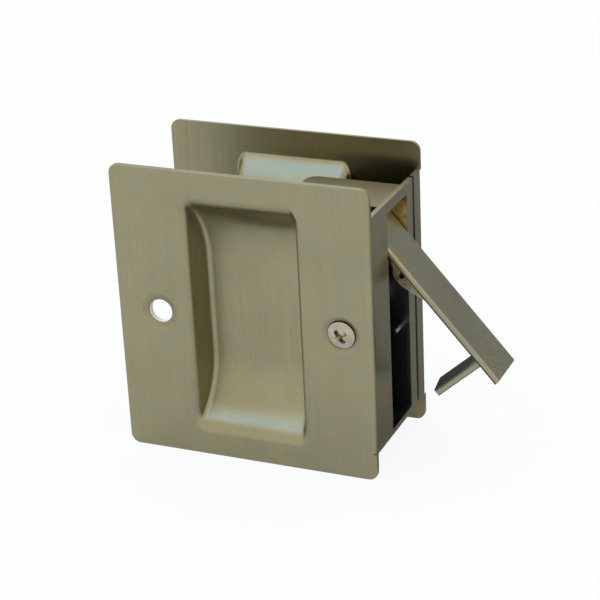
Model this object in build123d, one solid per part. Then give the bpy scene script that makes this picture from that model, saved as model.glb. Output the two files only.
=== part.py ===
from build123d import *
import math
import os

# Pocket door lock of the passage kind: two square plates with scooped finger cups clamp a
# 35 mm sliding door from both sides. The front plate is folded round the door's edge, and
# the folded leg carries a case that holds a swinging edge pull, shown swung open.
#
# The model is built with X = 0 at the door's edge face (the door is towards -X), Y = 0 at
# the front plate's outer face (the rear plate is towards +Y) and Z = 0 at mid-height.
# The finished pieces are moved once, so that the origin lies under the middle of the lock.
# All sizes are in millimetres.

# Plates
plate_width = 70.8
plate_height = 79.4
plate_corner_radius = 2.6
plate_edge_rounding = 0.35
sheet = 1.2
door_thickness = 35.0

# Folded edge leg of the front plate and folded lip of the rear plate
edge_past_case = 0.8
edge_fold_radius = 1.6
lip_reach = 4.6
edge_gap = 1.3

# Window in the edge leg
window_below_case_top = 2.1
window_lip = 0.6
window_corner_radius = 0.5

# Finger cups
cup_width = 30.2
cup_length = 66.0
cup_depth = 9.2
cup_wall = 0.9
cup_centre_from_edge = 35.1
cup_end_radius = 22.0
cup_end_swell_radius = 9.0
cup_end_rim_slope = 20.0
cup_draft = 9.0
cup_floor_radius = 1.5
cup_rim_radius = 2.3

# Screw holes
hole_spacing = 50.4
hole_from_edge = 8.8
hole_radius = 3.1
dimple_radius = 5.2
dimple_depth = 1.0
dimple_back_swell = 0.3
dimple_back_wall = 0.9

# Case behind the window
case_width = 16.3
case_height = 62.8
case_depth = 26.8
case_wall = 0.8
case_corner_radius = 3.0
case_foot_width = 5.6

# Edge pull, described shut and then swung open
pull_open_angle = 41.4
pull_side_gap = 0.3
pull_top_gap = 1.0
pull_bottom_gap = 1.3
pull_thickness = 1.5
pull_edge_rounding = 0.6
pull_top_rounding = 1.2
pivot_depth = 7.5
pivot_below_window = 12.4
web_inset = 1.0
web_thickness = 1.2
boss_radius = 3.2
barrel_radius = 2.8
web_hole_radius = 0.9
web_hole_drop = 10.2
web_hole_depth = 2.6
tang_thickness = 1.9
tang_length = 15.1
tang_slant = 3.4
tang_above_end = 5.8
tang_near_inset = 0.5
tang_far_inset = 1.3

# Outline of the pull's side webs, as drops below the pivot and depths behind the face
web_outline = [
    (0.0, 10.7),
    (2.6, 9.2),
    (5.6, 2.8),
    (7.2, 2.9),
    (8.4, 4.2),
    (10.0, 4.7),
    (12.4, 4.5),
    (14.4, 3.7),
    (22.5, 0.75),
    (-2.4, 0.75),
]

# Pivot pin with its spacers and retainer
pin_radius = 1.5
pin_running_clearance = 0.05
pin_hole_clearance = 0.03
pin_head_radius = 2.6
pin_head_thickness = 0.8
pin_tail = 1.6
spacer_radius = 2.9
spacer_side_clearance = 0.08
retainer_radius = 3.0
retainer_thickness = 0.6

# Stop pins
closing_stop_radius = 0.75
closing_stop_reach = 5.4
closing_stop_drop = 24.1
opening_stop_radius = 1.25
opening_stop_rise = 10.0
stop_clearance = 0.1

# Leaf springs and their rivets
leaf_thickness = 0.4
friction_leaf_width = 6.0
friction_foot_length = 11.0
friction_rivet_drops = (3.8, 8.8)
friction_leaf_drop = 6.0
friction_leaf_overrun = 2.0
leaf_clearance = 0.1
tang_leaf_width = 4.0
tang_foot_length = 9.0
tang_rivet_rise = 4.1
tang_nose_height = 0.9
tang_nose_length = 2.4
tang_nose_from_tip = 3.0
rivet_radius = 0.9
rivet_head_radius = 1.6
rivet_head_thickness = 0.6

# Spacer rivets that close the case
case_rivet_radius = 1.4
case_rivet_shoulder_radius = 2.0
case_rivet_from_back = 4.2
case_rivet_from_ends = 2.3

# Machine screw, its sleeve inside the case, and the tapped posts of the rear plate
screw_radius = 2.05
screw_thread_core_radius = 1.68
screw_head_radius = 3.7
screw_head_dome = 1.15
screw_engagement = 6.4
screw_tip_chamfer = 0.4
cross_arm_width = 1.2
cross_reach = 2.3
cross_depth = 2.2
cross_turn = 53.0
post_radius = 3.0
post_bore_radius = 1.73
post_bore_end_wall = 1.0
sleeve_radius = 3.0
sleeve_bore_radius = 2.25

# How far a cutting shape runs past what it cuts
cut_margin = 1.0

# Places worked out from the sizes above
rear_inner_y = sheet + door_thickness
rear_outer_y = rear_inner_y + sheet
door_middle_y = sheet + door_thickness / 2
case_top_z = case_height / 2
case_bottom_z = -case_height / 2
edge_top_z = case_top_z + edge_past_case
edge_bottom_z = case_bottom_z - edge_past_case
lip_end_y = rear_inner_y - lip_reach
edge_leg_end_y = lip_end_y - edge_gap
case_near_y = door_middle_y - case_width / 2
case_far_y = door_middle_y + case_width / 2
case_inner_near_y = case_near_y + case_wall
case_inner_far_y = case_far_y - case_wall
case_back_x = -case_depth
case_inner_back_x = case_back_x + case_wall
window_near_y = case_inner_near_y + window_lip
window_far_y = case_inner_far_y
window_top_z = case_top_z - window_below_case_top
window_bottom_z = case_bottom_z + case_wall
screw_x = -hole_from_edge
empty_hole_x = screw_x - hole_spacing
pivot_x = -pivot_depth
pivot_z = window_top_z - pivot_below_window
pull_near_y = window_near_y + pull_side_gap
pull_far_y = window_far_y - pull_side_gap
pull_top_z = window_top_z - pull_top_gap
pull_bottom_z = window_bottom_z + pull_bottom_gap
near_web_y = pull_near_y + web_inset
far_web_y = pull_far_y - web_inset
tang_near_y = pull_near_y + tang_near_inset
tang_far_y = pull_far_y - tang_far_inset
tang_low_z = pull_bottom_z + tang_above_end
tang_tip_x = -pull_thickness - tang_length


def block(low, high):
    """Box between two opposite corners."""
    size = [b - a for a, b in zip(low, high)]
    middle = [(a + b) / 2 for a, b in zip(low, high)]
    return Pos(*middle) * Box(*size)


def rod(x, z, y_start, y_end, radius):
    """Round bar along Y."""
    middle = (y_start + y_end) / 2
    return Pos(x, middle, z) * Rot(90, 0, 0) * Cylinder(radius, y_end - y_start)


def hole_through(x, z, y_start, y_end, radius):
    """Cutter for a hole along Y right through the given span."""
    return rod(x, z, y_start - cut_margin, y_end + cut_margin, radius)


def bar_along_x(y, z, x_start, x_end, radius):
    """Round bar along X."""
    middle = (x_start + x_end) / 2
    return Pos(middle, y, z) * Rot(0, 90, 0) * Cylinder(radius, x_end - x_start)


def side_profile(points, y_start, y_end):
    """Prism along Y of an outline given as (x, z) points."""
    outline = Polyline(*[(x, 0, z) for x, z in points], close=True)
    return Pos(0, y_start, 0) * extrude(make_face(outline), amount=y_end - y_start, dir=(0, 1, 0))


def plan_profile(points, z_start, z_end):
    """Prism along Z of an outline given as (x, y) points."""
    outline = Polyline(*[(x, y, 0) for x, y in points], close=True)
    return Pos(0, 0, z_start) * extrude(make_face(outline), amount=z_end - z_start, dir=(0, 0, 1))


def mirrored_to_rear(shape):
    """The same shape on the door's other face."""
    return mirror(shape, about=Plane.XZ.offset(-rear_outer_y / 2))


def cup_volume(grow):
    """Space of the front finger cup, swelled by grow on its walls and floor."""
    depth = cup_depth + grow
    rim_slope = math.radians(cup_end_rim_slope)
    swell_centre_y = cup_end_swell_radius * math.cos(rim_slope)
    swell_centre_z = cup_length / 2 + cup_end_swell_radius * math.sin(rim_slope)
    both_radii = cup_end_radius + cup_end_swell_radius
    steepest = math.acos((cup_end_radius + swell_centre_y - cup_depth) / both_radii)
    scoop_centre_y = cup_depth - cup_end_radius
    flat_half = swell_centre_z - both_radii * math.sin(steepest)

    def on_scoop(slope):
        radius = cup_end_radius + grow
        return scoop_centre_y + radius * math.cos(slope), flat_half + radius * math.sin(slope)

    def on_swell(slope):
        radius = cup_end_swell_radius - grow
        return swell_centre_y - radius * math.cos(slope), swell_centre_z - radius * math.sin(slope)

    rim_y, rim_half = on_swell(rim_slope)
    scoop_points = [on_scoop(0), on_scoop(steepest / 2), on_scoop(steepest)]
    swell_points = [on_swell(steepest), on_swell((steepest + rim_slope) / 2), (rim_y, rim_half)]
    outline = [Line((0, depth, -flat_half), (0, depth, flat_half))]
    outline.append(Line((0, rim_y, rim_half), (0, rim_y, -rim_half)))
    for end in (1, -1):
        for arc in (scoop_points, swell_points):
            outline.append(ThreePointArc(*[(0, y, end * z) for y, z in arc]))
    side = make_face(Curve() + outline)
    half_width = cup_width / 2 + grow / math.cos(math.radians(cup_draft))
    scoop = extrude(side, amount=half_width, dir=(1, 0, 0), both=True)
    lean = depth * math.tan(math.radians(cup_draft))
    wedge_outline = [
        (-half_width, 0),
        (half_width, 0),
        (half_width - lean, depth),
        (-half_width + lean, depth),
    ]
    wedge = plan_profile(wedge_outline, -rim_half, rim_half)
    volume = scoop & wedge
    inner_edges = volume.edges().filter_by(lambda e: e.center().Y > rim_y + cup_wall / 2)
    long_edges = inner_edges.filter_by(lambda e: abs(e.center().X) > cup_wall)
    volume = fillet(long_edges, cup_floor_radius + grow)
    return Pos(-cup_centre_from_edge, 0, 0) * volume


def folded_leg(reach):
    """Leg folded back from the front plate's door-edge side, with its rounded fold."""
    overhang = 2 * edge_fold_radius
    outer = rounded_corner_block(-overhang, 0, 0, reach, edge_fold_radius)
    hollow = rounded_corner_block(-2 * overhang, -sheet, sheet, reach, edge_fold_radius - sheet)
    kept = block((-edge_fold_radius, 0, edge_bottom_z), (0, reach, edge_top_z))
    return (outer - hollow) & kept


def rounded_corner_block(x_start, x_end, y_start, y_end, radius):
    """Block as tall as the edge leg, with the vertical corner at x_end, y_start rounded."""
    shape = block((x_start, y_start, edge_bottom_z), (x_end, y_end, edge_top_z))
    corner = shape.edges().filter_by(Axis.Z).sort_by(lambda e: e.center().X - e.center().Y)[-1]
    return fillet(corner, radius)


def cupped_plate(leg_reach):
    """Front plate with its cup and folded leg, with no screw holes."""
    flat = block((-plate_width, 0, -plate_height / 2), (0, sheet, plate_height / 2))
    flat = fillet(flat.edges().filter_by(Axis.Y), plate_corner_radius)
    outer_face = flat.faces().sort_by(Axis.Y)[0]
    flat = fillet(outer_face.edges(), plate_edge_rounding)
    flat -= block((-edge_fold_radius, 0, edge_bottom_z), (0, sheet, edge_top_z))
    flat += cup_volume(cup_wall)
    root_edges = [e for e in flat.edges() if is_cup_edge(e, sheet)]
    flat = fillet(root_edges, cup_rim_radius - sheet)
    flat -= cup_volume(0)
    rim_edges = [e for e in flat.edges() if is_cup_edge(e, 0)]
    flat = fillet(rim_edges, cup_rim_radius)
    return flat + folded_leg(leg_reach)


def is_cup_edge(edge, y):
    """Whether an edge lies at the given depth and belongs to the cup's outline."""
    box = edge.bounding_box()
    on_level = abs(box.min.Y - y) < 0.01 and abs(box.max.Y - y) < 0.01
    centre = edge.center()
    reach_x = cup_width / 2 + 2 * cup_wall
    reach_z = cup_length / 2 + 2 * cup_wall
    beside_cup = abs(centre.X + cup_centre_from_edge) < reach_x and abs(centre.Z) < reach_z
    return on_level and beside_cup


def dimple_cone(depth_start, radius_start, depth_end, radius_end):
    """Frustum along +Y."""
    length = depth_end - depth_start
    frustum = Cone(radius_start, radius_end, length)
    return Pos(0, (depth_start + depth_end) / 2, 0) * Rot(-90, 0, 0) * frustum


def dimpled_hole(plate, x):
    """Presses a dimple into the plate at x and opens its screw hole."""
    back_radius = dimple_radius + dimple_back_swell
    neck_radius = hole_radius + dimple_back_wall
    back = dimple_cone(sheet, back_radius, sheet + dimple_depth, neck_radius)
    dish = dimple_cone(0, dimple_radius, dimple_depth, hole_radius)
    place = Pos(x, 0, 0)
    plate += place * back
    plate -= place * dish
    return plate - hole_through(x, 0, 0, sheet + dimple_depth, hole_radius)


def make_front_plate():
    plate = cupped_plate(edge_leg_end_y)
    for x in (screw_x, empty_hole_x):
        plate = dimpled_hole(plate, x)
    window = block(
        (-2 * sheet, window_near_y, window_bottom_z),
        (sheet, window_far_y, window_top_z),
    )
    window = fillet(window.edges().filter_by(Axis.X), window_corner_radius)
    return plate - window


def make_rear_plate():
    return mirrored_to_rear(cupped_plate(rear_outer_y - lip_end_y))


def make_case_body():
    """Tray of the case: far side, top, bottom and back, open towards the near cover."""
    tray = block((case_back_x, case_near_y, case_bottom_z), (-sheet, case_far_y, case_top_z))
    corner = tray.edges().filter_by(Axis.Z).sort_by(lambda e: e.center().Y - e.center().X)[-1]
    tray = fillet(corner, case_corner_radius)
    hollow = block(
        (case_inner_back_x, case_near_y - cut_margin, case_bottom_z + case_wall),
        (cut_margin, case_inner_far_y, case_top_z - case_wall),
    )
    corner = hollow.edges().filter_by(Axis.Z).sort_by(lambda e: e.center().Y - e.center().X)[-1]
    hollow = fillet(corner, case_corner_radius - case_wall)
    tray -= hollow
    holes = case_side_holes + [(closing_stop_x, closing_stop_z, closing_stop_radius)]
    for x, z, radius in holes:
        tray -= hole_through(x, z, case_inner_far_y, case_far_y, radius)
    back_holes = [(friction_leaf_y, z) for z in friction_rivet_heights]
    back_holes += [(tang_leaf_y, z) for z in tang_rivet_heights]
    for y, z in back_holes:
        tray -= rivet_hole(y, z, case_back_x, case_inner_back_x)
    return tray


def rivet_hole(y, z, x_start, x_end):
    """Cutter for a small rivet's hole along X."""
    return bar_along_x(y, z, x_start - cut_margin, x_end + cut_margin, rivet_radius)


def make_case_cover():
    """Near side of the case, with the foot that lies on the edge leg's inner face."""
    low_z = case_bottom_z + case_wall
    high_z = case_top_z - case_wall
    cover = block((case_inner_back_x, case_near_y, low_z), (-sheet, case_inner_near_y, high_z))
    foot_near_y = case_near_y - case_foot_width
    cover += block(
        (-sheet - case_wall, foot_near_y, case_bottom_z),
        (-sheet, case_near_y, case_top_z),
    )
    for x, z, radius in case_side_holes:
        cover -= hole_through(x, z, case_near_y, case_inner_near_y, radius)
    return cover


def swung_open(shape):
    """Turns a shape of the shut pull about the pivot, to the open pose."""
    return Pos(pivot_x, 0, pivot_z) * Rot(0, -pull_open_angle, 0) * Pos(-pivot_x, 0, -pivot_z) * shape


def turned_open(x, z):
    """Place of a point of the shut pull in the open pose."""
    angle = math.radians(pull_open_angle)
    across = x - pivot_x
    up = z - pivot_z
    new_x = pivot_x + across * math.cos(angle) - up * math.sin(angle)
    new_z = pivot_z + across * math.sin(angle) + up * math.cos(angle)
    return new_x, new_z


def pull_web(y_start, y_end):
    """One side web of the pull: pivot ear, notch, hook lug and the taper along the plate."""
    outline = [(-depth, pivot_z - drop) for drop, depth in web_outline]
    web = side_profile(outline, y_start, y_end)
    web += rod(pivot_x, pivot_z, y_start, y_end, boss_radius)
    hole = hole_through(-web_hole_depth, pivot_z - web_hole_drop, y_start, y_end, web_hole_radius)
    return web - hole


def make_edge_pull():
    """Cast pull: face plate, two webs, barrel on the pivot and the tang behind its foot."""
    face = block((-pull_thickness, pull_near_y, pull_bottom_z), (0, pull_far_y, pull_top_z))
    top_edge = face.edges().filter_by(Axis.Y).sort_by(lambda e: e.center().X + e.center().Z)[-1]
    face = fillet(top_edge, pull_top_rounding)
    outer_face = face.faces().sort_by(Axis.X)[-1]
    long_edges = outer_face.edges().filter_by(Axis.Z)
    foot_edge = outer_face.edges().filter_by(Axis.Y).sort_by(Axis.Z)[0]
    face = fillet(list(long_edges) + [foot_edge], pull_edge_rounding)
    pull = face + pull_web(near_web_y, near_web_y + web_thickness)
    pull += pull_web(far_web_y - web_thickness, far_web_y)
    pull += rod(pivot_x, pivot_z, near_web_y, far_web_y, barrel_radius)
    tang_root_x = -pull_thickness / 2
    tang_outline = [
        (tang_root_x, tang_near_y),
        (tang_tip_x, tang_near_y),
        (tang_tip_x - tang_slant, tang_far_y),
        (tang_root_x, tang_far_y),
    ]
    pull += plan_profile(tang_outline, tang_low_z, tang_low_z + tang_thickness)
    pull -= hole_through(pivot_x, pivot_z, near_web_y, far_web_y, pin_radius + pin_running_clearance)
    return swung_open(pull)


def make_pivot_pin():
    pin = rod(pivot_x, pivot_z, case_near_y, case_far_y + pin_tail, pin_radius)
    return pin + rod(pivot_x, pivot_z, case_near_y - pin_head_thickness, case_near_y, pin_head_radius)


def make_pivot_spacer(y_start, y_end):
    spacer = rod(pivot_x, pivot_z, y_start, y_end, spacer_radius)
    return spacer - hole_through(pivot_x, pivot_z, y_start, y_end, pin_radius + pin_running_clearance)


def make_pivot_retainer():
    """Push-on washer that keeps the pivot pin in the case."""
    y_end = case_far_y + retainer_thickness
    retainer = rod(pivot_x, pivot_z, case_far_y, y_end, retainer_radius)
    return retainer - hole_through(pivot_x, pivot_z, case_far_y, y_end, pin_radius)


def make_closing_stop():
    near_end_y = case_inner_far_y - closing_stop_reach
    return rod(closing_stop_x, closing_stop_z, near_end_y, case_far_y, closing_stop_radius)


def make_opening_stop():
    return rod(opening_stop_x, opening_stop_z, case_near_y, case_far_y, opening_stop_radius)


def rivet_along_x(y, z, inner_x):
    """Small rivet through the case's back wall and a leaf spring's foot."""
    rivet = bar_along_x(y, z, case_back_x, inner_x, rivet_radius)
    rivet += bar_along_x(y, z, case_back_x - rivet_head_thickness, case_back_x, rivet_head_radius)
    return rivet + bar_along_x(y, z, inner_x, inner_x + rivet_head_thickness, rivet_head_radius)


def make_friction_spring():
    """Leaf on the case's back wall whose arm bears on the barrel of the pull."""
    bearing = barrel_radius + leaf_clearance
    arm_start = (friction_face_x, friction_arm_z)
    reach_x = pivot_x - arm_start[0]
    reach_z = pivot_z - arm_start[1]
    distance = math.hypot(reach_x, reach_z)
    slope = math.atan2(reach_z, reach_x) - math.asin(bearing / distance)
    along = (math.cos(slope), math.sin(slope))
    across = (math.sin(slope), -math.cos(slope))
    length = math.sqrt(distance ** 2 - bearing ** 2) + friction_leaf_overrun
    tip = (arm_start[0] + along[0] * length, arm_start[1] + along[1] * length)
    under_tip = (tip[0] + across[0] * leaf_thickness, tip[1] + across[1] * leaf_thickness)
    under_z = arm_start[1] - leaf_thickness / math.cos(slope)
    low_z = friction_arm_z - friction_foot_length
    outline = [
        (case_inner_back_x, low_z),
        (friction_face_x, low_z),
        (friction_face_x, under_z),
        under_tip,
        tip,
        arm_start,
        (case_inner_back_x, friction_arm_z),
    ]
    half = friction_leaf_width / 2
    leaf = side_profile(outline, friction_leaf_y - half, friction_leaf_y + half)
    for z in friction_rivet_heights:
        leaf -= rivet_hole(friction_leaf_y, z, case_inner_back_x, friction_face_x)
    return leaf


def make_tang_spring():
    """Leaf on the case's back wall with a nose that the tang's tip snaps over."""
    face_x = case_inner_back_x + leaf_thickness
    arm_top_z = tang_nose_top_z - tang_nose_height
    arm_low_z = arm_top_z - leaf_thickness
    high_z = arm_low_z + tang_foot_length
    nose_half = tang_nose_length / 2
    outline = [
        (case_inner_back_x, high_z),
        (case_inner_back_x, arm_low_z),
        (tang_nose_x - nose_half, arm_low_z),
        (tang_nose_x, tang_nose_top_z - leaf_thickness),
        (tang_nose_x + nose_half, arm_low_z),
        (tang_nose_x + nose_half, arm_top_z),
        (tang_nose_x, tang_nose_top_z),
        (tang_nose_x - nose_half, arm_top_z),
        (face_x, arm_top_z),
        (face_x, high_z),
    ]
    half = tang_leaf_width / 2
    leaf = side_profile(outline, tang_leaf_y - half, tang_leaf_y + half)
    for z in tang_rivet_heights:
        leaf -= rivet_hole(tang_leaf_y, z, case_inner_back_x, face_x)
    return leaf


def make_spring_rivets(y, heights):
    face_x = case_inner_back_x + leaf_thickness
    return Compound(children=[rivet_along_x(y, z, face_x) for z in heights])


def make_case_rivets():
    """Two shouldered rivets, peened flush, that hold the cover on the case body."""
    rivets = []
    for x, z in case_rivet_places:
        rivet = rod(x, z, case_near_y, case_far_y, case_rivet_radius)
        rivet += rod(x, z, case_inner_near_y, case_inner_far_y, case_rivet_shoulder_radius)
        rivets.append(rivet)
    return Compound(children=rivets)


def make_screw_sleeve():
    sleeve = rod(screw_x, 0, case_inner_near_y, case_inner_far_y, sleeve_radius)
    return sleeve - hole_through(screw_x, 0, case_inner_near_y, case_inner_far_y, sleeve_bore_radius)


def make_face_screw():
    """Oval-head machine screw with a cross recess, seated in the dimple."""
    rim_y = dimple_depth - (screw_head_radius - hole_radius)
    neck_y = dimple_depth + (hole_radius - screw_radius)
    head = dimple_cone(rim_y, screw_head_radius, neck_y, screw_radius)
    ball_radius = (screw_head_radius ** 2 + screw_head_dome ** 2) / (2 * screw_head_dome)
    top_y = rim_y - screw_head_dome
    ball = Pos(0, top_y + ball_radius, 0) * Sphere(ball_radius)
    dome = ball & rod(0, 0, top_y - cut_margin, rim_y, screw_head_radius)
    screw = head + dome
    screw += rod(0, 0, neck_y, case_far_y, screw_radius)
    thread = rod(0, 0, case_far_y, case_far_y + screw_engagement, screw_thread_core_radius)
    tip_edge = thread.edges().sort_by(Axis.Y)[-1]
    screw += chamfer(tip_edge, screw_tip_chamfer)
    half_arm = cross_arm_width / 2
    cross_end_y = top_y + cross_depth
    arms = block((-cross_reach, top_y - cut_margin, -half_arm), (cross_reach, cross_end_y, half_arm))
    arms += Rot(0, 90, 0) * arms
    point = dimple_cone(top_y, cross_reach, cross_end_y, half_arm)
    screw -= Rot(0, cross_turn, 0) * (arms & point)
    return Pos(screw_x, 0, 0) * screw


def make_post(x):
    """Tapped post that stands on the rear plate's inner face."""
    post = rod(x, 0, case_far_y, rear_inner_y, post_radius)
    bore_end_y = rear_inner_y - post_bore_end_wall
    return post - rod(x, 0, case_far_y - cut_margin, bore_end_y, post_bore_radius)


# Places of the small parts inside the case
closing_stop_x = -pull_thickness - closing_stop_radius - stop_clearance
closing_stop_z = pivot_z - closing_stop_drop
opening_stop_x, opening_stop_z = turned_open(
    -pull_thickness - opening_stop_radius - stop_clearance,
    pivot_z + opening_stop_rise,
)
case_rivet_x = case_inner_back_x + case_rivet_from_back
case_rivet_places = [
    (case_rivet_x, case_top_z - case_wall - case_rivet_from_ends),
    (case_rivet_x, case_bottom_z + case_wall + case_rivet_from_ends),
]
case_side_holes = [
    (screw_x, 0, sleeve_bore_radius),
    (pivot_x, pivot_z, pin_radius + pin_hole_clearance),
    (opening_stop_x, opening_stop_z, opening_stop_radius),
]
case_side_holes += [(x, z, case_rivet_radius) for x, z in case_rivet_places]
friction_face_x = case_inner_back_x + leaf_thickness
friction_arm_z = pivot_z - friction_leaf_drop
friction_leaf_y = door_middle_y
friction_rivet_heights = [friction_arm_z - drop for drop in friction_rivet_drops]
leaf_tip_x = tang_tip_x - tang_slant * tang_leaf_width / (tang_far_y - tang_near_y)
tang_tip_radius = math.hypot(leaf_tip_x - pivot_x, tang_low_z - pivot_z)
tang_nose_x = tang_tip_x + tang_nose_from_tip
tang_nose_top_z = (
    pivot_z
    - math.sqrt(tang_tip_radius ** 2 - (tang_nose_x + tang_nose_length / 2 - pivot_x) ** 2)
    - leaf_clearance
)
tang_leaf_y = tang_near_y + tang_leaf_width / 2
tang_rivet_heights = [tang_nose_top_z + tang_rivet_rise]

nodes = {
    "front_plate": make_front_plate(),
    "rear_plate": make_rear_plate(),
    "case_body": make_case_body(),
    "case_cover": make_case_cover(),
    "case_rivets": make_case_rivets(),
    "edge_pull": make_edge_pull(),
    "pivot_pin": make_pivot_pin(),
    "pivot_spacer_near": make_pivot_spacer(case_inner_near_y, near_web_y - spacer_side_clearance),
    "pivot_spacer_far": make_pivot_spacer(far_web_y + spacer_side_clearance, case_inner_far_y),
    "pivot_retainer": make_pivot_retainer(),
    "closing_stop_pin": make_closing_stop(),
    "opening_stop_pin": make_opening_stop(),
    "friction_spring": make_friction_spring(),
    "friction_spring_rivets": make_spring_rivets(friction_leaf_y, friction_rivet_heights),
    "tang_spring": make_tang_spring(),
    "tang_spring_rivet": make_spring_rivets(tang_leaf_y, tang_rivet_heights),
    "screw_sleeve": make_screw_sleeve(),
    "face_screw": make_face_screw(),
    "post_behind_screw": make_post(screw_x),
    "post_behind_empty_hole": make_post(empty_hole_x),
}

# The origin goes to the middle of the lock's box, at the plates' lower edges
boxes = [shape.bounding_box() for shape in nodes.values()]
origin_shift = Pos(
    -(min(box.min.X for box in boxes) + max(box.max.X for box in boxes)) / 2,
    -(min(box.min.Y for box in boxes) + max(box.max.Y for box in boxes)) / 2,
    -min(box.min.Z for box in boxes),
)

os.makedirs("parts", exist_ok=True)
for name, shape in nodes.items():
    export_step(origin_shift * shape, f"parts/{name}.step")
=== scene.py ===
import math
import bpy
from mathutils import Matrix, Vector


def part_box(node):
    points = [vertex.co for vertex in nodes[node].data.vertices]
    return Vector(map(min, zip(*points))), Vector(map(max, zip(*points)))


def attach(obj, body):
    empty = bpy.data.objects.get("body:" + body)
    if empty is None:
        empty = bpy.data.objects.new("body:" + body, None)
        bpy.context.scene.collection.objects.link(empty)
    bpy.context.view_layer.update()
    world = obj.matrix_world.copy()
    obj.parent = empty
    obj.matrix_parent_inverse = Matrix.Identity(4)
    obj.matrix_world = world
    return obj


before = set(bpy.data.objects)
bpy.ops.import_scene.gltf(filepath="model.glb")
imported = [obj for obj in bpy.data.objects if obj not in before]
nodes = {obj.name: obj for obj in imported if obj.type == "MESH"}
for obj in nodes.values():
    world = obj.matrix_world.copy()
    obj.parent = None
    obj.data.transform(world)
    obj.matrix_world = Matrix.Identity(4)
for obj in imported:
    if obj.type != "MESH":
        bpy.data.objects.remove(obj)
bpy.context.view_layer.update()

from types import SimpleNamespace

import bpy
from mathutils import Euler, Matrix, Vector

MM = 0.001

# The camera stands where the photograph was taken from
CAMERA_PLACE = (0.18493, -0.42867, 0.24591)
CAMERA_TURN = (66.23, 2.59, 22.90)
CAMERA_LENS = 118.0
CAMERA_NEAREST = 0.01

# Floor and sky, and the share of plain white that the floor shows to the eye and to metal
WHITE = (1.0, 1.0, 1.0, 1.0)
SKY_LEVEL = 1.0
FLOOR_SPAN = 1.6
FLOOR_COLOUR = (0.86, 0.86, 0.85)
FLOOR_ROUGHNESS = 0.9
FLOOR_WHITE_TO_EYE = 0.90
FLOOR_WHITE_TO_METAL = 0.25

# Soft boxes, in metres and watts, all turned to the middle of the lock
LIGHT_AIM = (0.0, 0.0, 0.04)
OVERHEAD_SOFT_BOX = {
    "place": (-0.207, -0.335, 0.85),
    "width": 0.9,
    "depth": 0.55,
    "power": 2.5,
    "colour": (0.15, 0.42, 1.0),
}
WARM_SOFT_BOX = {
    "place": (-0.25, -0.58, 0.69),
    "width": 0.6,
    "depth": 0.16,
    "power": 0.095,
    "colour": (1.0, 0.72, 0.60),
}

# Grey card, one leaf lying at the right and one standing behind, in metres
CARD_LEFT = 0.024
CARD_RIGHT = 0.26
CARD_NEAR = -0.02
CARD_BACK = 0.20
CARD_HEIGHT = 0.17
CARD_LIFT = 0.001
CARD_LYING_GREY = 0.30
CARD_STANDING_GREY = 0.42
CARD_ROUGHNESS = 0.95

# The pull leans by this much from upright about its pivot, given as X and Z
PULL_LEAN = 41.4
PULL_PIVOT = (13.684 * MM, 56.600 * MM)

# Finishes: linear colours where the metal is bright, dull, and along its edges worn and painted with
# a highlight, the mean roughness and how far it spreads from line to line, the strength of the
# brushing's relief, the lines in a metre, how the brushing is turned from upright, and how far it
# stretches reflections
PLATE_FINISH = {
    "bright": (0.352, 0.318, 0.182),
    "dull": (0.276, 0.255, 0.160),
    "edge": (0.270, 0.275, 0.230),
    "roughness": 0.31,
    "spread": 0.12,
    "relief": 0.20,
    "stretch": 0.75,
}
PULL_FINISH = {
    "bright": (0.360, 0.338, 0.230),
    "dull": (0.250, 0.240, 0.170),
    "edge": (0.500, 0.455, 0.310),
    "roughness": 0.30,
    "spread": 0.12,
    "relief": 0.22,
    "turn": (0.0, PULL_LEAN, 0.0),
}
CASE_FINISH = {
    "bright": (0.300, 0.275, 0.165),
    "dull": (0.220, 0.200, 0.125),
    "roughness": 0.38,
    "spread": 0.10,
    "relief": 0.25,
    "lines": 3800.0,
}
SCREW_FINISH = {
    "bright": (0.560, 0.510, 0.390),
    "dull": (0.420, 0.390, 0.310),
    "roughness": 0.26,
    "spread": 0.08,
    "relief": 0.15,
    "lines": 3000.0,
}
SPRING_FINISH = {
    "bright": (0.180, 0.185, 0.195),
    "dull": (0.100, 0.105, 0.115),
    "roughness": 0.30,
    "spread": 0.08,
    "relief": 0.15,
}
PIN_FINISH = {
    "bright": (0.480, 0.480, 0.460),
    "dull": (0.360, 0.360, 0.340),
    "roughness": 0.26,
    "spread": 0.08,
    "relief": 0.15,
}
BRASS_FINISH = {
    "bright": (0.480, 0.360, 0.160),
    "dull": (0.340, 0.250, 0.110),
    "roughness": 0.28,
    "spread": 0.08,
    "relief": 0.15,
    "turn": (0.0, 90.0, 0.0),
}
WELD_FINISH = {
    "bright": (0.260, 0.250, 0.210),
    "dull": (0.120, 0.095, 0.070),
    "roughness": 0.42,
    "spread": 0.10,
    "relief": 0.20,
}

# Brushing: how wide the wide lines are beside the fine ones, their contrast, how much the
# lines and the handling marks dull the metal, and how deep the relief is
WIDE_LINE_SHARE = (0.45, 0.45, 0.45)
LINE_SHARPNESS = 1.15
LINE_SHARE = 0.55
MARK_SHARE = 0.35
GRAIN_DEPTH = 0.04 * MM

# Tarnish, as tints on the colour beneath
WARM_TINT = (1.025, 1.00, 0.95)
COOL_TINT = (0.98, 1.00, 1.03)
PULL_WARM_TINT = (1.055, 1.015, 0.90)
PULL_COOL_TINT = (0.97, 1.00, 1.01)
PULL_STAINS = 260.0

# Strip along a piece's edges that handling has rubbed, which also carries a painted highlight of the
# rounded edges
EDGE_WEAR_AND_HIGHLIGHT_WIDTH = 0.4 * MM

# Inside of the case, painted light and shade: dark shade below and golden reflected light above these
# heights
CASE_LIT_GOLDEN = (0.640, 0.480, 0.200)
CASE_LIT_BROWN = (0.320, 0.210, 0.090)
CASE_SHADE_DARK = (0.105, 0.105, 0.095)
CASE_SHADE_BELOW = 47.0 * MM
CASE_LIT_ABOVE = 58.0 * MM
CASE_WALL = 0.8 * MM
CASE_SKIN = 0.15 * MM
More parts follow.
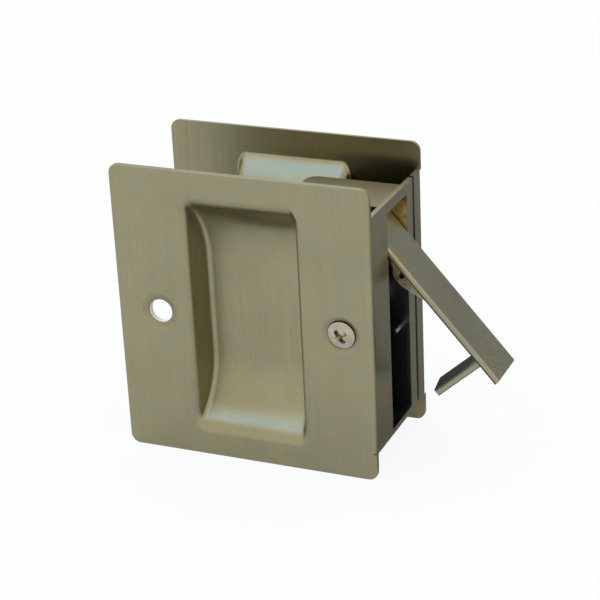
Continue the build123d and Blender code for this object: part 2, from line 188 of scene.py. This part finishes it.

# Front plate: its window, the top of its folded leg, and its holes, with painted shade in their
# dimples and a painted white reflection on their walls
CUT_SKIN = 0.05 * MM
WINDOW_DROP = 2.1 * MM
LEG_TOP_HEIGHT = (0.5 * MM, 0.7 * MM)
LEG_TOP_INSET = (1.6 * MM, 1.4 * MM)
LEG_TOP_WEAR = (6.0 * MM, 48.0 * MM)
HOLE_SPACING = 50.4 * MM
HOLE_RADIUS = 3.1 * MM
HOLE_WALL_REFLECTION = (0.880, 0.865, 0.820)
DIMPLE_RADIUS = 5.6 * MM
DIMPLE_SHADE = 0.35
DIMPLE_SHADE_COLOUR = (0.170, 0.160, 0.105)

# Places on the shut pull, as depths and heights from its pivot or insets from its near
# side. Each gives where a mask starts to show and where it is full
FACE_PLATE_DEPTH = (5.9 * MM, 6.0 * MM)
BEHIND_FACE_PLATE = (6.0 * MM, 5.9 * MM)
BACK_CORNER_DEPTH = (6.55 * MM, 6.30 * MM)
BACK_CORNER_INSET = (0.45 * MM, 0.30 * MM)
TANG_TOP_START = (-39.4 * MM, -38.55 * MM)
TANG_TOP_END = (-38.2 * MM, -38.4 * MM)
TANG_TOP_FADE = (12.0 * MM, 1.0 * MM)
TANG_FOOT = (-40.1 * MM, -40.3 * MM)
NEAR_SIDE_INSET = (0.8 * MM, 0.3 * MM)
NEAR_SIDE_FADE = (-32.0 * MM, 2.0 * MM)
WEB_HEIGHT = (-30.0 * MM, -26.0 * MM)

# Painted shade on the pull's hidden faces and webs, and golden blotches on its near side
PULL_PAINTED_SHADE = (0.040, 0.035, 0.025)
PULL_PAINTED_SHADE_MATT = 0.6
PULL_GOLDEN = (0.500, 0.350, 0.150)
PULL_GOLDEN_LEAST = 0.3
PULL_GOLDEN_SPREAD = 0.6
PULL_BLOTCHES = 330.0
WEB_PAINTED_SHADE = (0.130, 0.090, 0.045)

# Face screw: its stains, and the thread on its shank
SCREW_GRIME = (0.300, 0.270, 0.170)
SCREW_GRIME_SHARE = 0.6
SCREW_BLOTCHES = 420.0
THREAD_PITCH = 0.8 * MM
THREAD_START = (3.2 * MM, 3.6 * MM)
THREAD_STRENGTH = 0.9
THREAD_DEPTH = 0.1 * MM

# Weld marks on the case's foot
WELD_COUNT = 5
WELD_PITCH = 13.0 * MM
WELD_RADIUS = 1.5 * MM
WELD_RISE = 0.18 * MM
WELD_SEGMENTS = 24
WELD_RINGS = 12
FOOT_WIDTH = 5.6 * MM


def new_group(name, inputs, outputs):
    """Empty shader group with named sockets."""
    group = bpy.data.node_groups.new(name, "ShaderNodeTree")
    for label, kind, value in inputs:
        socket = group.interface.new_socket(label, in_out="INPUT", socket_type=kind)
        if value is not None:
            socket.default_value = value
    for label, kind in outputs:
        group.interface.new_socket(label, in_out="OUTPUT", socket_type=kind)
    start = group.nodes.new("NodeGroupInput")
    end = group.nodes.new("NodeGroupOutput")
    return group, start, end


def add_node(tree, kind, links=None, **settings):
    """Node with its settings, and its inputs either linked or set."""
    node = tree.nodes.new(kind)
    for key, value in settings.items():
        setattr(node, key, value)
    for key, value in (links or {}).items():
        if isinstance(value, bpy.types.NodeSocket):
            tree.links.new(value, node.inputs[key])
        else:
            node.inputs[key].default_value = value
    return node


def worked_out(tree, operation, *values, **settings):
    """Result of one operation on up to three numbers."""
    links = dict(enumerate(values))
    return add_node(tree, "ShaderNodeMath", links, operation=operation, **settings).outputs[0]


def mixed(tree, factor, first, second):
    """Colour between two colours."""
    mix = tree.nodes.new("ShaderNodeMix")
    mix.data_type = "RGBA"
    sockets = {"Factor": factor, "A": first, "B": second}
    for socket in [s for s in mix.inputs if s.enabled]:
        value = sockets[socket.name]
        if isinstance(value, bpy.types.NodeSocket):
            tree.links.new(value, socket)
        elif socket.type == "RGBA":
            socket.default_value = (*value, 1.0)
        else:
            socket.default_value = value
    return next(s for s in mix.outputs if s.enabled)


def axes(tree, place):
    """The X, Y and Z of a place."""
    return add_node(tree, "ShaderNodeSeparateXYZ", {0: place}).outputs


def make_brushed_grain():
    """Brushing lines of two widths along the Z of the coordinates that come in."""
    group, start, end = new_group(
        "brushed_grain",
        [
            ("Place", "NodeSocketVector", None),
            ("Lines per metre", "NodeSocketFloat", 5200.0),
            ("Breaks per metre", "NodeSocketFloat", 60.0),
            ("Roughness", "NodeSocketFloat", 0.36),
            ("Roughness spread", "NodeSocketFloat", 0.10),
        ],
        [("Lines", "NodeSocketFloat"), ("Roughness", "NodeSocketFloat")],
    )
    stretch = add_node(group, "ShaderNodeCombineXYZ", {
        "X": start.outputs["Lines per metre"],
        "Y": start.outputs["Lines per metre"],
        "Z": start.outputs["Breaks per metre"],
    })
    fine = add_node(group, "ShaderNodeVectorMath", {
        0: start.outputs["Place"],
        1: stretch.outputs[0],
    }, operation="MULTIPLY")
    wide = add_node(group, "ShaderNodeVectorMath", {
        0: fine.outputs[0],
        1: WIDE_LINE_SHARE,
    }, operation="MULTIPLY")
    fine_lines = add_node(group, "ShaderNodeTexNoise", {
        "Vector": fine.outputs[0],
        "Scale": 1.0,
        "Detail": 3.0,
        "Roughness": 0.65,
    })
    wide_lines = add_node(group, "ShaderNodeTexNoise", {
        "Vector": wide.outputs[0],
        "Scale": 1.0,
        "Detail": 2.0,
        "Roughness": 0.6,
    })
    # Each noise lies round 0.5, so their sum less 1 lies round 0
    both = worked_out(group, "ADD", fine_lines.outputs[0], wide_lines.outputs[0])
    centred = worked_out(group, "ADD", both, -1.0)
    sharp = worked_out(group, "MULTIPLY_ADD", centred, LINE_SHARPNESS, 0.5, use_clamp=True)
    roughness = worked_out(group, "MULTIPLY_ADD", centred,
                           start.outputs["Roughness spread"], start.outputs["Roughness"])
    group.links.new(sharp, end.inputs["Lines"])
    group.links.new(roughness, end.inputs["Roughness"])
    return group


def make_handling_marks():
    """Clouded mask of where hands, storage or dirt have marked the metal."""
    group, start, end = new_group(
        "handling_marks",
        [
            ("Place", "NodeSocketVector", None),
            ("Patches per metre", "NodeSocketFloat", 55.0),
            ("Sharpness", "NodeSocketFloat", 0.55),
        ],
        [("Mask", "NodeSocketFloat")],
    )
    clouds = add_node(group, "ShaderNodeTexNoise", {
        "Vector": start.outputs["Place"],
        "Scale": start.outputs["Patches per metre"],
        "Detail": 5.0,
        "Roughness": start.outputs["Sharpness"],
    })
    mask = add_node(group, "ShaderNodeMapRange", {
        "Value": clouds.outputs[0],
        "From Min": 0.38,
        "From Max": 0.66,
    })
    group.links.new(mask.outputs[0], end.inputs["Mask"])
    return group


def make_place_between():
    """Soft mask that rises from 0 to 1 between two places along one axis."""
    group, start, end = new_group(
        "place_between",
        [
            ("Along", "NodeSocketFloat", 0.0),
            ("Start", "NodeSocketFloat", 0.0),
            ("End", "NodeSocketFloat", 1.0),
        ],
        [("Mask", "NodeSocketFloat")],
    )
    mask = add_node(group, "ShaderNodeMapRange", {
        "Value": start.outputs["Along"],
        "From Min": start.outputs["Start"],
        "From Max": start.outputs["End"],
    }, interpolation_type="SMOOTHSTEP")
    group.links.new(mask.outputs[0], end.inputs["Mask"])
    return group


def make_tarnish():
    """Tints the plating a little warmer or cooler from place to place."""
    group, start, end = new_group(
        "tarnish",
        [
            ("Place", "NodeSocketVector", None),
            ("Colour", "NodeSocketColor", None),
            ("Stains per metre", "NodeSocketFloat", 140.0),
            ("Warm", "NodeSocketColor", (*WARM_TINT, 1.0)),
            ("Cool", "NodeSocketColor", (*COOL_TINT, 1.0)),
        ],
        [("Colour", "NodeSocketColor")],
    )
    stains = add_node(group, "ShaderNodeTexNoise", {
        "Vector": start.outputs["Place"],
        "Scale": start.outputs["Stains per metre"],
        "Detail": 4.0,
        "Roughness": 0.6,
    })
    share = add_node(group, "ShaderNodeMapRange", {
        "Value": stains.outputs[0],
        "From Min": 0.33,
        "From Max": 0.67,
    })
    tint = mixed(group, share.outputs[0], start.outputs["Warm"], start.outputs["Cool"])
    tinted = add_node(group, "ShaderNodeVectorMath", {
        0: start.outputs["Colour"],
        1: tint,
    }, operation="MULTIPLY")
    group.links.new(tinted.outputs[0], end.inputs["Colour"])
    return group


def make_edge_wear_and_highlight():
    """Mask of the narrow strip along a piece's edges where handling has rubbed the finish and a
    highlight is painted.
    """
    group, start, end = new_group(
        "edge_wear_and_highlight",
        [("Width", "NodeSocketFloat", EDGE_WEAR_AND_HIGHLIGHT_WIDTH)],
        [("Mask", "NodeSocketFloat")],
    )
    rounded = add_node(group, "ShaderNodeBevel", {"Radius": start.outputs["Width"]}, samples=6)
    surface = group.nodes.new("ShaderNodeNewGeometry")
    likeness = add_node(group, "ShaderNodeVectorMath", {
        0: rounded.outputs[0],
        1: surface.outputs["Normal"],
    }, operation="DOT_PRODUCT")
    mask = add_node(group, "ShaderNodeMapRange", {
        "Value": likeness.outputs["Value"],
        "From Min": 0.995,
        "From Max": 0.85,
    })
    group.links.new(mask.outputs[0], end.inputs["Mask"])
    return group


def make_case_painted_light():
    """Colour inside the case, painted light and shade: golden reflected light above, dark shade
    below.
    """
    group, start, end = new_group(
        "case_painted_light",
        [
            ("Place", "NodeSocketVector", None),
            ("Dark below", "NodeSocketFloat", CASE_SHADE_BELOW),
            ("Golden above", "NodeSocketFloat", CASE_LIT_ABOVE),
        ],
        [("Colour", "NodeSocketColor")],
    )
    # Painted light and shade by height: golden where light comes in through the window, dark beneath
    height = add_node(group, "ShaderNodeMapRange", {
        "Value": axes(group, start.outputs["Place"])["Z"],
        "From Min": start.outputs["Dark below"],
        "From Max": start.outputs["Golden above"],
    })
    blotches = add_node(group, "ShaderNodeTexNoise", {
        "Vector": start.outputs["Place"],
        "Scale": 420.0,
        "Detail": 4.0,
        "Roughness": 0.65,
    })
    share = add_node(group, "ShaderNodeMapRange", {
        "Value": blotches.outputs[0],
        "From Min": 0.36,
        "From Max": 0.62,
    })
    golden = mixed(group, share.outputs[0], CASE_LIT_BROWN, CASE_LIT_GOLDEN)
    case_light_colour = mixed(group, height.outputs[0], CASE_SHADE_DARK, golden)
    group.links.new(case_light_colour, end.inputs["Colour"])
    return group


BRUSHED_GRAIN = make_brushed_grain()
HANDLING_MARKS = make_handling_marks()
PLACE_BETWEEN = make_place_between()
TARNISH = make_tarnish()
EDGE_WEAR_AND_HIGHLIGHT = make_edge_wear_and_highlight()
CASE_PAINTED_LIGHT = make_case_painted_light()


def use_group(tree, group, links):
    """What a group puts out, by name."""
    return add_node(tree, "ShaderNodeGroup", links, node_tree=group).outputs


def between(tree, along, start, end):
    """Soft mask that rises from 0 to 1 between two places."""
    return use_group(tree, PLACE_BETWEEN, {"Along": along, "Start": start, "End": end})["Mask"]


def all_of(tree, *masks):
    """Mask of the places that every one of the masks marks."""
    together = masks[0]
    for mask in masks[1:]:
        together = worked_out(tree, "MULTIPLY", together, mask)
    return together


def any_of(tree, *masks):
    """Mask of the places that at least one of the masks marks."""
    together = masks[0]
    for mask in masks[1:]:
        together = worked_out(tree, "MAXIMUM", together, mask)
    return together


def make_bare(metal, mask):
    """Takes the metal's mirror off the places that the mask marks."""
    plated = worked_out(metal.tree, "SUBTRACT", 1.0, mask)
    metal.tree.links.new(plated, metal.shader.inputs["Metallic"])


def give_colour(metal, colour):
    metal.tree.links.new(colour, metal.shader.inputs["Base Color"])


def give_roughness(metal, roughness):
    metal.tree.links.new(roughness, metal.shader.inputs["Roughness"])


def give_relief(metal, height, strength, depth):
    bump = add_node(metal.tree, "ShaderNodeBump", {
        "Height": height,
        "Strength": strength,
        "Distance": depth,
    })
    metal.tree.links.new(bump.outputs[0], metal.shader.inputs["Normal"])


def brushed_metal(name, bright, dull, roughness, spread, relief,
                  edge=None, turn=(0.0, 0.0, 0.0), lines=5200.0, stretch=0.0):
    """Brushed plating whose grain runs along Z, or along Z turned."""
    material = bpy.data.materials.new(name)
    material.use_nodes = True
    tree = material.node_tree
    shader = tree.nodes["Principled BSDF"]
    shader.inputs["Metallic"].default_value = 1.0
    shader.inputs["Anisotropic"].default_value = stretch
    place = add_node(tree, "ShaderNodeTexCoord").outputs["Object"]
    turned = add_node(tree, "ShaderNodeMapping", {
        "Vector": place,
        "Rotation": [math.radians(angle) for angle in turn],
    })
    grain = use_group(tree, BRUSHED_GRAIN, {
        "Place": turned.outputs[0],
        "Lines per metre": lines,
        "Roughness": roughness,
        "Roughness spread": spread,
    })
    marks = use_group(tree, HANDLING_MARKS, {"Place": place})
    lined = worked_out(tree, "MULTIPLY", grain["Lines"], LINE_SHARE)
    dulled = worked_out(tree, "MULTIPLY_ADD", marks["Mask"], MARK_SHARE, lined)
    brushed = mixed(tree, dulled, bright, dull)
    stained = use_group(tree, TARNISH, {"Place": place, "Colour": brushed})
    # Edge strip: rubbed wear, and a painted highlight along the rounded edges
    worn_and_lit = use_group(tree, EDGE_WEAR_AND_HIGHLIGHT, {})
    metal = SimpleNamespace(material=material, tree=tree, shader=shader, place=place)
    metal.colour = mixed(tree, worn_and_lit["Mask"], stained["Colour"], edge or bright)
    metal.roughness = grain["Roughness"]
    give_colour(metal, metal.colour)
    give_roughness(metal, metal.roughness)
    give_relief(metal, grain["Lines"], relief, GRAIN_DEPTH)
    return metal


def centre_of_screw():
    low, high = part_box("face_screw")
    return (low + high) / 2


def window_edges(tree, x, y, z):
    """Mask of the cut edges of the window in the front plate's folded leg."""
    plate_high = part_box("front_plate")[1]
    case_low, case_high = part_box("case_body")
    window_top = case_high.z - WINDOW_DROP
    return all_of(
        tree,
        between(tree, x, plate_high.x - CUT_SKIN, plate_high.x - 3 * CUT_SKIN),
        between(tree, x, case_high.x - CASE_WALL, case_high.x - CUT_SKIN),
        between(tree, y, case_low.y + CASE_WALL, case_low.y + 2 * CASE_WALL - CUT_SKIN),
        between(tree, y, case_high.y - CASE_WALL + 2 * CUT_SKIN, case_high.y - CASE_WALL + CUT_SKIN),
        between(tree, z, case_low.z + CASE_WALL - 2 * CUT_SKIN, case_low.z + CASE_WALL - CUT_SKIN),
        between(tree, z, window_top + 2 * CUT_SKIN, window_top + CUT_SKIN),
    )


def leg_top(tree, x, y, z):
    """Mask of the top of the front plate's folded leg, which grows towards the rear."""
    plate_low, plate_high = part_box("front_plate")
    case_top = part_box("case_body")[1].z
    return all_of(
        tree,
        between(tree, z, *(case_top + rise for rise in LEG_TOP_HEIGHT)),
        between(tree, x, *(plate_high.x - inset for inset in LEG_TOP_INSET)),
        between(tree, y, *(plate_low.y + reach for reach in LEG_TOP_WEAR)),
    )


def make_front_plate_metal():
    """Satin nickel with painted shade in its dimples, a painted white reflection on its hole walls,
    and window edges given the case's painted light and shade.
    """
    metal = brushed_metal("satin_nickel_front", **PLATE_FINISH)
    tree = metal.tree
    x, y, z = axes(tree, metal.place)
    case_light_colour = use_group(tree, CASE_PAINTED_LIGHT, {"Place": metal.place})["Colour"]
    # The window's cut faces get the case's painted light and shade
    finish = mixed(tree, window_edges(tree, x, y, z), metal.colour, case_light_colour)
    # The top of the folded leg takes the same golden-brown mottled colour
    finish = mixed(tree, leg_top(tree, x, y, z), finish, case_light_colour)
    screw = centre_of_screw()
    across = add_node(tree, "ShaderNodeCombineXYZ", {"X": x, "Z": z})
    hole_walls = []
    for hole_x in (screw.x, screw.x - HOLE_SPACING):
        away = add_node(tree, "ShaderNodeVectorMath", {
            0: across.outputs[0],
            1: (hole_x, 0.0, screw.z),
        }, operation="DISTANCE").outputs["Value"]
        # Painted shade in the dimple round each hole
        dimple_shade_mask = between(tree, away, DIMPLE_RADIUS, HOLE_RADIUS)
        shaded = worked_out(tree, "MULTIPLY", dimple_shade_mask, DIMPLE_SHADE)
        wall = between(tree, away, HOLE_RADIUS + 2 * CUT_SKIN, HOLE_RADIUS + CUT_SKIN)
        finish = mixed(tree, shaded, finish, DIMPLE_SHADE_COLOUR)
        # The hole's wall is painted near white as a painted reflection, and loses the metal's mirror
        finish = mixed(tree, wall, finish, HOLE_WALL_REFLECTION)
        hole_walls.append(wall)
    make_bare(metal, any_of(tree, *hole_walls))
    give_colour(metal, finish)
    return metal.material


def from_pivot(tree, place):
    """Depth, side and height from the pivot, with the pull turned back to where it is shut."""
    lean = Euler((0.0, math.radians(PULL_LEAN), 0.0))
    pivot = Vector((PULL_PIVOT[0], 0.0, PULL_PIVOT[1]))
    shut = add_node(tree, "ShaderNodeMapping", {
        "Vector": place,
        "Rotation": lean,
        "Location": -(lean.to_matrix() @ pivot),
    })
    return axes(tree, shut.outputs[0])


def make_pull_metal():
    """Plated casting with rubbed edges that carry a painted highlight, and painted shade on its
    tang's top, its tang foot, its back corner and its webs.
    """
    metal = brushed_metal("pull_nickel", **PULL_FINISH)
    tree = metal.tree
    depth, side, height = from_pivot(tree, metal.place)
    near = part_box("edge_pull")[0].y
    face_plate = between(tree, depth, *FACE_PLATE_DEPTH)
    behind = between(tree, depth, *BEHIND_FACE_PLATE)
    back_corner = all_of(
        tree,
        between(tree, depth, *BACK_CORNER_DEPTH),
        between(tree, side, *(near + inset for inset in BACK_CORNER_INSET)),
    )
    tang_top = all_of(
        tree,
        behind,
        between(tree, height, *TANG_TOP_START),
        between(tree, height, *TANG_TOP_END),
        between(tree, depth, *TANG_TOP_FADE),
    )
    tang_foot = all_of(tree, behind, between(tree, height, *TANG_FOOT))
    near_side = all_of(
        tree,
        between(tree, side, *(near + inset for inset in NEAR_SIDE_INSET)),
        face_plate,
        between(tree, height, *NEAR_SIDE_FADE),
    )
    web_shade = all_of(tree, behind, between(tree, height, *WEB_HEIGHT))
    patchy = use_group(tree, TARNISH, {
        "Place": metal.place,
        "Colour": metal.colour,
        "Stains per metre": PULL_STAINS,
        "Warm": (*PULL_WARM_TINT, 1.0),
        "Cool": (*PULL_COOL_TINT, 1.0),
    })["Colour"]
    blotches = use_group(tree, HANDLING_MARKS, {
        "Place": metal.place,
        "Patches per metre": PULL_BLOTCHES,
    })["Mask"]
    golden = worked_out(tree, "MULTIPLY_ADD", blotches, PULL_GOLDEN_SPREAD, PULL_GOLDEN_LEAST)
    # Painted shade: the tang's top, its foot and the back corner are dark, matt and without the
    # metal's mirror
    painted_shade = any_of(tree, back_corner, tang_top, tang_foot)
    finish = mixed(tree, all_of(tree, near_side, golden), patchy, PULL_GOLDEN)
    # Painted shade in brown blotches on the webs behind the face plate
    finish = mixed(tree, all_of(tree, web_shade, blotches), finish, WEB_PAINTED_SHADE)
    give_colour(metal, mixed(tree, painted_shade, finish, PULL_PAINTED_SHADE))
    make_bare(metal, painted_shade)
    give_roughness(metal, worked_out(tree, "MULTIPLY_ADD", painted_shade, PULL_PAINTED_SHADE_MATT, metal.roughness))
    return metal.material


def make_case_metal():
    """Plain plating outside, with painted light and shade inside the case: golden reflected light
    above, dark shade below.
    """
    metal = brushed_metal("case_nickel", **CASE_FINISH)
    tree = metal.tree
    x, y, z = axes(tree, metal.place)
    low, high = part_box("case_body")
    inside = all_of(
        tree,
        between(tree, x, low.x + CASE_WALL - CASE_SKIN, low.x + CASE_WALL),
        between(tree, y, low.y + CASE_WALL - CASE_SKIN, low.y + CASE_WALL),
        between(tree, y, high.y - CASE_WALL + CASE_SKIN, high.y - CASE_WALL),
        between(tree, z, low.z + CASE_WALL - CASE_SKIN, low.z + CASE_WALL),
        between(tree, z, high.z - CASE_WALL + CASE_SKIN, high.z - CASE_WALL),
    )
    # The inside of the case gets the painted light and shade
    case_light_colour = use_group(tree, CASE_PAINTED_LIGHT, {"Place": metal.place})["Colour"]
    give_colour(metal, mixed(tree, inside, metal.colour, case_light_colour))
    return metal.material


def make_screw_metal():
    """Bright plating, rubbed and stained on the head, with the thread on the shank."""
    metal = brushed_metal("bright_screw", **SCREW_FINISH)
    tree = metal.tree
    blotches = use_group(tree, HANDLING_MARKS, {
        "Place": metal.place,
        "Patches per metre": SCREW_BLOTCHES,
    })["Mask"]
    soiled = worked_out(tree, "MULTIPLY", blotches, SCREW_GRIME_SHARE)
    give_colour(metal, mixed(tree, soiled, metal.colour, SCREW_GRIME))
    centre = centre_of_screw()
    centred = add_node(tree, "ShaderNodeMapping", {
        "Vector": metal.place,
        "Location": (-centre.x, 0.0, -centre.z),
    })
    x, y, z = axes(tree, centred.outputs[0])
    around = worked_out(tree, "ARCTAN2", z, x)
    along = worked_out(tree, "MULTIPLY_ADD", y, 2 * math.pi / THREAD_PITCH, around)
    head_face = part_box("face_screw")[0].y
    on_shank = between(tree, y, *(head_face + reach for reach in THREAD_START))
    thread = worked_out(tree, "MULTIPLY", worked_out(tree, "SINE", along), on_shank)
    give_relief(metal, thread, THREAD_STRENGTH, THREAD_DEPTH)
    return metal.material


def coat(node_names, material):
    """Gives CAD nodes their finish."""
    for name in node_names:
        slots = nodes[name].data.materials
        slots.clear()
        slots.append(material)


def make_finishes():
    rear_nickel = brushed_metal("satin_nickel_rear", **PLATE_FINISH).material
    spring_steel = brushed_metal("blued_spring_steel", **SPRING_FINISH).material
    pin_steel = brushed_metal("pin_steel", **PIN_FINISH).material
    turned_brass = brushed_metal("turned_brass", **BRASS_FINISH).material
    coat(["front_plate"], make_front_plate_metal())
    coat(["rear_plate"], rear_nickel)
    coat(["case_body", "case_cover"], make_case_metal())
    coat(["edge_pull"], make_pull_metal())
    coat(["face_screw"], make_screw_metal())
    coat(["friction_spring", "tang_spring"], spring_steel)
    coat(["case_rivets", "pivot_pin", "pivot_retainer"], pin_steel)
    coat(["closing_stop_pin", "opening_stop_pin"], pin_steel)
    coat(["friction_spring_rivets", "tang_spring_rivet", "screw_sleeve"], pin_steel)
    coat(["post_behind_screw", "post_behind_empty_hole"], turned_brass)
    coat(["pivot_spacer_near", "pivot_spacer_far"], turned_brass)


def show(name, data):
    """New object of this name in the scene."""
    thing = bpy.data.objects.new(name, data)
    bpy.context.scene.collection.objects.link(thing)
    return thing


def make_weld_row(finish):
    """Geometry tree that sets a row of shallow weld marks along Z, and its inputs' identifiers."""
    tree = bpy.data.node_groups.new("spot_weld_row", "GeometryNodeTree")
    sizes = (
        ("Count", "NodeSocketInt"),
        ("Pitch", "NodeSocketFloat"),
        ("Radius", "NodeSocketFloat"),
        ("Rise", "NodeSocketFloat"),
    )
    sockets = {}
    for label, kind in sizes:
        sockets[label] = tree.interface.new_socket(label, in_out="INPUT", socket_type=kind).identifier
    tree.interface.new_socket("Geometry", in_out="OUTPUT", socket_type="NodeSocketGeometry")
    start = tree.nodes.new("NodeGroupInput")
    end = tree.nodes.new("NodeGroupOutput")
    step = add_node(tree, "ShaderNodeCombineXYZ", {"Z": start.outputs["Pitch"]})
    row = add_node(tree, "GeometryNodeMeshLine", {
        "Count": start.outputs["Count"],
        "Offset": step.outputs[0],
    })
    ball = add_node(tree, "GeometryNodeMeshUVSphere", {
        "Segments": WELD_SEGMENTS,
        "Rings": WELD_RINGS,
        "Radius": 1.0,
    })
    squashed = add_node(tree, "ShaderNodeCombineXYZ", {
        "X": start.outputs["Rise"],
        "Y": start.outputs["Radius"],
        "Z": start.outputs["Radius"],
    })
    marks = add_node(tree, "GeometryNodeInstanceOnPoints", {
        "Points": row.outputs["Mesh"],
        "Instance": ball.outputs["Mesh"],
        "Scale": squashed.outputs[0],
    })
    real = add_node(tree, "GeometryNodeRealizeInstances", {"Geometry": marks.outputs[0]})
    finished = add_node(tree, "GeometryNodeSetMaterial", {
        "Geometry": real.outputs[0],
        "Material": finish,
    })
    tree.links.new(finished.outputs[0], end.inputs["Geometry"])
    return tree, sockets


def make_spot_welds():
    """Weld marks that hold the case's foot on the inner face of the edge leg."""
    finish = brushed_metal("weld_marks", **WELD_FINISH).material
    tree, sockets = make_weld_row(finish)
    seed = show("spot_weld_seed", bpy.data.meshes.new("spot_weld_seed"))
    row = seed.modifiers.new("row", "NODES")
    row.node_group = tree
    row[sockets["Count"]] = WELD_COUNT
    row[sockets["Pitch"]] = WELD_PITCH
    row[sockets["Radius"]] = WELD_RADIUS
    row[sockets["Rise"]] = WELD_RISE
    evaluated = seed.evaluated_get(bpy.context.evaluated_depsgraph_get())
    mesh = bpy.data.meshes.new_from_object(evaluated)
    bpy.data.objects.remove(seed)
    low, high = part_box("case_cover")
    half_row = WELD_PITCH * (WELD_COUNT - 1) / 2
    first = Vector((high.x - CASE_WALL, low.y + FOOT_WIDTH / 2, (low.z + high.z) / 2 - half_row))
    mesh.transform(Matrix.Translation(first))
    mesh.name = "spot_welds"
    welds = show("spot_welds", mesh)
    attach(welds, "lock")


def plain_matt(name, colour, roughness):
    """Material of one plain colour, for what isn't part of the lock."""
    material = bpy.data.materials.new(name)
    material.use_nodes = True
    shader = material.node_tree.nodes["Principled BSDF"]
    shader.inputs["Base Color"].default_value = (*colour, 1.0)
    shader.inputs["Roughness"].default_value = roughness
    return material


def share_of_white(tree):
    """Share of the floor's white that camera rays, and glossy and transmission rays, get to see."""
    path = tree.nodes.new("ShaderNodeLightPath").outputs
    mirrored = worked_out(tree, "MAXIMUM", path["Is Glossy Ray"], path["Is Transmission Ray"])
    in_metal = worked_out(tree, "MULTIPLY", mirrored, FLOOR_WHITE_TO_METAL)
    return worked_out(tree, "MULTIPLY_ADD", path["Is Camera Ray"], FLOOR_WHITE_TO_EYE, in_metal)


def make_floor():
    half = FLOOR_SPAN / 2
    mesh = bpy.data.meshes.new("pale_floor")
    corners = [(-half, -half, 0), (half, -half, 0), (half, half, 0), (-half, half, 0)]
    mesh.from_pydata(corners, [], [(0, 1, 2, 3)])
    material = plain_matt("pale_floor", FLOOR_COLOUR, FLOOR_ROUGHNESS)
    tree = material.node_tree
    white = add_node(tree, "ShaderNodeEmission", {"Color": WHITE, "Strength": 1.0})
    blend = add_node(tree, "ShaderNodeMixShader", {
        0: share_of_white(tree),
        1: tree.nodes["Principled BSDF"].outputs[0],
        2: white.outputs[0],
    })
    tree.links.new(blend.outputs[0], tree.nodes["Material Output"].inputs["Surface"])
    mesh.materials.append(material)
    show("pale_floor", mesh)


def make_sky():
    world = bpy.data.worlds.new("studio")
    bpy.context.scene.world = world
    world.use_nodes = True
    background = world.node_tree.nodes["Background"]
    background.inputs["Color"].default_value = WHITE
    background.inputs["Strength"].default_value = SKY_LEVEL


def soft_box(name, place, width, depth, power, colour):
    lamp = bpy.data.lights.new(name, "AREA")
    lamp.shape = "RECTANGLE"
    lamp.size = width
    lamp.size_y = depth
    lamp.energy = power
    lamp.color = colour
    holder = show(name, lamp)
    holder.location = place
    direction = Vector(LIGHT_AIM) - Vector(place)
    holder.rotation_euler = direction.to_track_quat("-Z", "Y").to_euler()


def make_grey_card():
    """Grey card at the right and behind that only shows as a reflection in the metal."""
    mesh = bpy.data.meshes.new("grey_card")
    corners = [
        (CARD_LEFT, CARD_NEAR, CARD_LIFT),
        (CARD_RIGHT, CARD_NEAR, CARD_LIFT),
        (CARD_RIGHT, CARD_BACK, CARD_LIFT),
        (CARD_LEFT, CARD_BACK, CARD_LIFT),
        (CARD_RIGHT, CARD_BACK, CARD_HEIGHT),
        (CARD_LEFT, CARD_BACK, CARD_HEIGHT),
    ]
    mesh.from_pydata(corners, [], [(0, 1, 2, 3), (3, 2, 4, 5)])
    for leaf, grey in enumerate((CARD_LYING_GREY, CARD_STANDING_GREY)):
        mesh.materials.append(plain_matt("grey_card", (grey, grey, grey), CARD_ROUGHNESS))
        mesh.polygons[leaf].material_index = leaf
    card = show("grey_card", mesh)
    card.visible_camera = False
    card.visible_diffuse = False
    card.visible_shadow = False


def make_camera():
    lens = bpy.data.cameras.new("camera")
    lens.lens = CAMERA_LENS
    lens.clip_start = CAMERA_NEAREST
    camera = show("camera", lens)
    camera.location = CAMERA_PLACE
    camera.rotation_euler = Euler([math.radians(angle) for angle in CAMERA_TURN])
    bpy.context.scene.camera = camera


make_finishes()
make_spot_welds()
make_floor()
make_sky()
soft_box("overhead_soft_box", **OVERHEAD_SOFT_BOX)
soft_box("warm_soft_box", **WARM_SOFT_BOX)
make_grey_card()
make_camera()
bpy.context.scene.view_settings.view_transform = "Standard"
